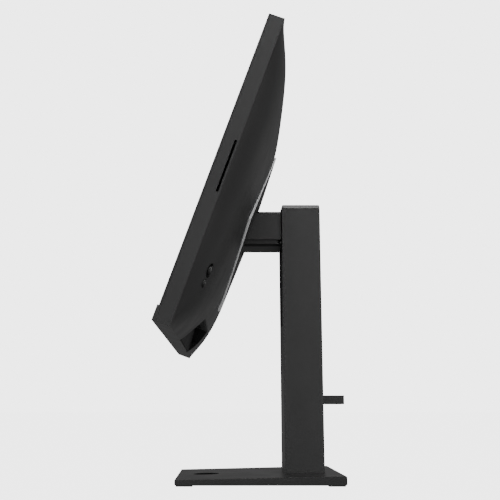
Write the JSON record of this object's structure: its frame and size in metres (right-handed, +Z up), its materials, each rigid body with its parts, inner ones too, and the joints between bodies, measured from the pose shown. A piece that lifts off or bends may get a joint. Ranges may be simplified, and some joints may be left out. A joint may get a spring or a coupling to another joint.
{
  "type": "all in one pc",
  "caption": "Flat-screen all-in-one computer on a height-adjustable stand: tilting screen head with cushion-shaped rear cover, square column and flat base plate.",
  "frame": {"origin": "the middle of the stand's footprint box on the desk: centre of the whole object's box in plan, at the rubber feet's underside", "axes": "+Z up, +X to the user's right, the screen faces -Y"},
  "size_m": [0.613, 0.2333, 0.5191],
  "materials": {
    "satin_black": "satin moulded plastic",
    "soft_black": "fine matt moulded plastic",
    "trim_metal": "bright bevelled edge",
    "glass_panel": "anti-glare screen surface",
    "film_white": "diffusing film",
    "acrylic": "clear acrylic",
    "sheet_steel": "zinc-plated sheet",
    "bright_steel": "polished",
    "cast_alloy": "cast, sand-blasted",
    "rubber_black": "matt",
    "pad_white": "acetal",
    "bronze": "sintered",
    "board_green": "solder mask",
    "part_black": "moulded component",
    "copper": "copper, satin",
    "fin_metal": "mill finish",
    "connector_metal": "nickel-plated",
    "plate_black": "powder-coated"
  },
  "bodies": {
    "stand": {"base_plate": "plate_black", "base_cover": "soft_black", "base_weight": "sheet_steel", "rubber_feet": "rubber_black", "base_inlay": "soft_black", "base_screws": "bright_steel", "column_shell": "satin_black", "column_cap": "satin_black", "guide_rail": "sheet_steel", "strut_cylinder": "plate_black", "cable_clip": "soft_black", "clip_screws": "bright_steel"},
    "arm": {"carriage": "cast_alloy", "guide_pads": "pad_white", "strut_rod": "bright_steel", "arm_shell": "satin_black", "arm_cover": "soft_black", "hinge_knuckle": "cast_alloy", "friction_washers": "bronze"},
    "head": {"hinge_pin": "bright_steel", "mid_frame": "satin_black", "front_bezel": "soft_black", "chin_trim": "satin_black", "lcd_panel": "glass_panel", "optical_films": "film_white", "light_guide": "acrylic", "backlight_tray": "sheet_steel", "led_bar": "film_white", "chassis": "sheet_steel", "hinge_bracket": "sheet_steel", "hinge_screws": "bright_steel", "rear_cover": "satin_black", "diamond_panel": "soft_black", "trim_ring": "trim_metal", "port_bay": "soft_black", "port_board": "board_green", "port_connectors": "connector_metal", "network_port": "connector_metal", "power_inlet": "part_black", "mainboard": "board_green", "cold_plate": "copper", "heat_pipes": "copper", "fin_stack": "fin_metal", "blower_housing": "part_black", "memory_modules": "board_green", "ssd_module": "part_black", "power_board": "board_green", "power_parts": "part_black", "speakers": "part_black", "antennas": "bronze", "slot_mesh": "soft_black", "control_board": "board_green", "board_screws": "bright_steel"},
    "fan": {"fan_rotor": "part_black"},
    "power_key": {"power_button": "satin_black"},
    "gimbal": {"joystick_gimbal": "cast_alloy"},
    "stick": {"joystick_cap": "satin_black"}
  },
  "joints": [
    {"name": "lift", "type": "slide", "parent": "stand", "child": "arm", "axis": [0, 0, 1], "range_m": [-0.1, 0]},
    {"name": "tilt", "type": "hinge", "parent": "arm", "child": "head", "pos_m": [0, -0.0217, 0.3377], "axis": [1, 0, 0], "range_deg": [0, 25]},
    {"name": "fan_spin", "type": "hinge", "parent": "head", "child": "fan", "pos_m": [-0.13, -0.0105, 0.41876], "axis": [0, 0.9397, -0.342], "continuous": true},
    {"name": "power_press", "type": "slide", "parent": "head", "child": "power_key", "axis": [0, -0.9397, 0.342], "range_m": [0, 0.0009], "stiffness_N_per_m": 1200, "springref_m": -0.0004},
    {"name": "stick_side", "type": "hinge", "parent": "head", "child": "gimbal", "pos_m": [0.27, -0.07036, 0.24261], "axis": [0, 0.342, 0.9397], "range_deg": [-7, 7], "stiffness_Nm_per_rad": 0.08},
    {"name": "stick_updown", "type": "hinge", "parent": "gimbal", "child": "stick", "pos_m": [0.27, -0.07036, 0.24261], "axis": [1, 0, 0], "range_deg": [-7, 7], "stiffness_Nm_per_rad": 0.08}
  ]
}
